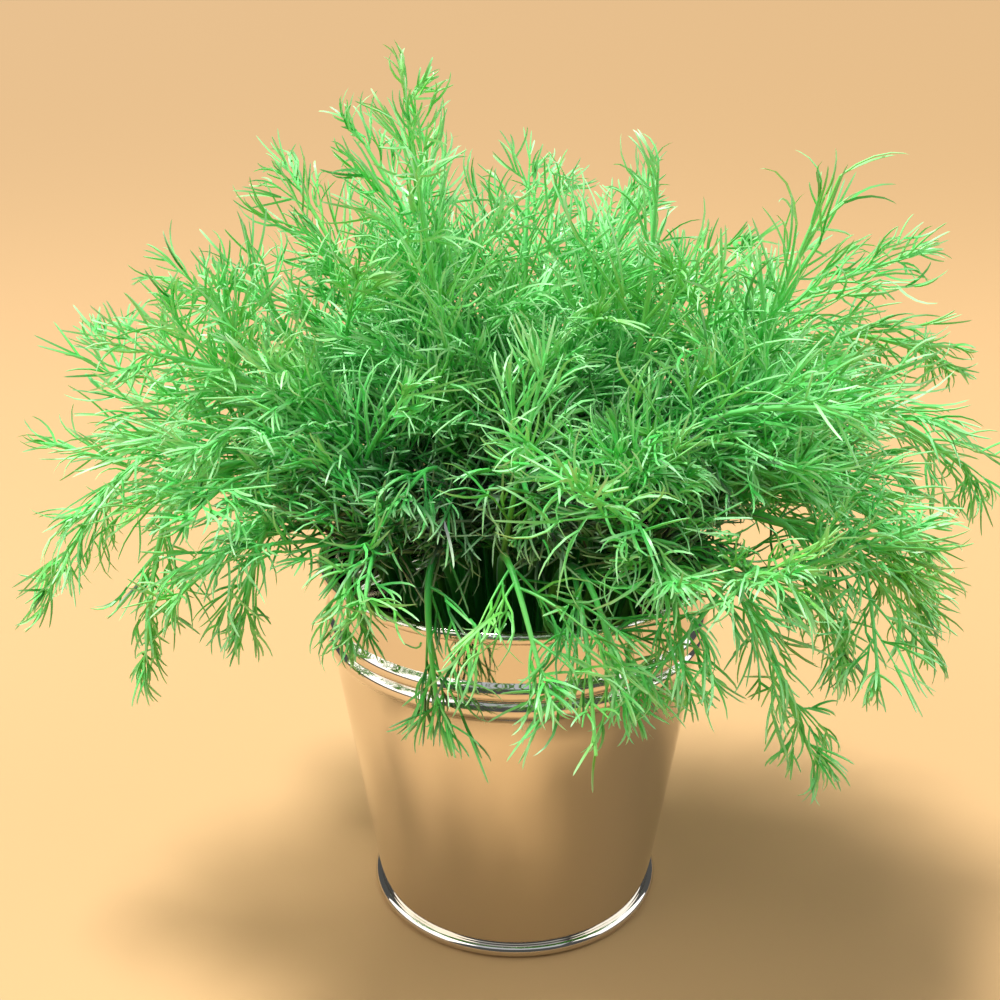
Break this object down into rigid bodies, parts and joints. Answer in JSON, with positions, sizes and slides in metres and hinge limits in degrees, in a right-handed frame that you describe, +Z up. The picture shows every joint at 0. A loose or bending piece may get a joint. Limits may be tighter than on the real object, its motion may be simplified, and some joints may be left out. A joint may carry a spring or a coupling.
{
  "type": "dill bunch in a metal pail",
  "caption": "Bunch of fresh dill standing loose in a small tapered metal pail, with thread-leaved fronds arching out over the rolled rim.",
  "frame": {"origin": "on the pail's axis, in the plane that its foot ring stands on", "axes": "+Z up along the pail's axis, -Y the front of the bunch, +X to its right, along the bunch's width"},
  "size_m": [0.3057, 0.2041, 0.266],
  "materials": {
    "dill_leaf": "satin",
    "tinned_steel": "polished"
  },
  "bodies": {
    "root": {"dill_sprig_01": "dill_leaf", "dill_sprig_02": "dill_leaf", "dill_sprig_03": "dill_leaf", "dill_sprig_04": "dill_leaf", "dill_sprig_05": "dill_leaf", "dill_sprig_06": "dill_leaf", "dill_sprig_07": "dill_leaf", "dill_sprig_08": "dill_leaf", "dill_sprig_09": "dill_leaf", "dill_sprig_10": "dill_leaf", "dill_sprig_11": "dill_leaf", "dill_sprig_12": "dill_leaf", "dill_sprig_13": "dill_leaf", "dill_sprig_14": "dill_leaf", "dill_sprig_15": "dill_leaf", "dill_sprig_16": "dill_leaf", "dill_sprig_17": "dill_leaf", "dill_sprig_18": "dill_leaf", "dill_sprig_19": "dill_leaf", "dill_sprig_20": "dill_leaf", "dill_sprig_21": "dill_leaf", "dill_sprig_22": "dill_leaf", "dill_sprig_23": "dill_leaf", "dill_sprig_24": "dill_leaf", "dill_sprig_25": "dill_leaf", "dill_sprig_26": "dill_leaf", "dill_sprig_27": "dill_leaf", "dill_sprig_28": "dill_leaf", "dill_sprig_29": "dill_leaf", "dill_sprig_30": "dill_leaf", "dill_sprig_31": "dill_leaf", "dill_sprig_32": "dill_leaf", "dill_sprig_33": "dill_leaf", "dill_sprig_34": "dill_leaf", "dill_sprig_35": "dill_leaf", "dill_sprig_36": "dill_leaf", "dill_sprig_37": "dill_leaf", "dill_sprig_38": "dill_leaf", "dill_sprig_39": "dill_leaf", "dill_sprig_40": "dill_leaf", "dill_sprig_41": "dill_leaf", "dill_sprig_42": "dill_leaf", "dill_sprig_43": "dill_leaf", "pail_body": "tinned_steel", "pail_foot_ring": "tinned_steel", "pail_bottom": "tinned_steel"}
  },
  "joints": []
}
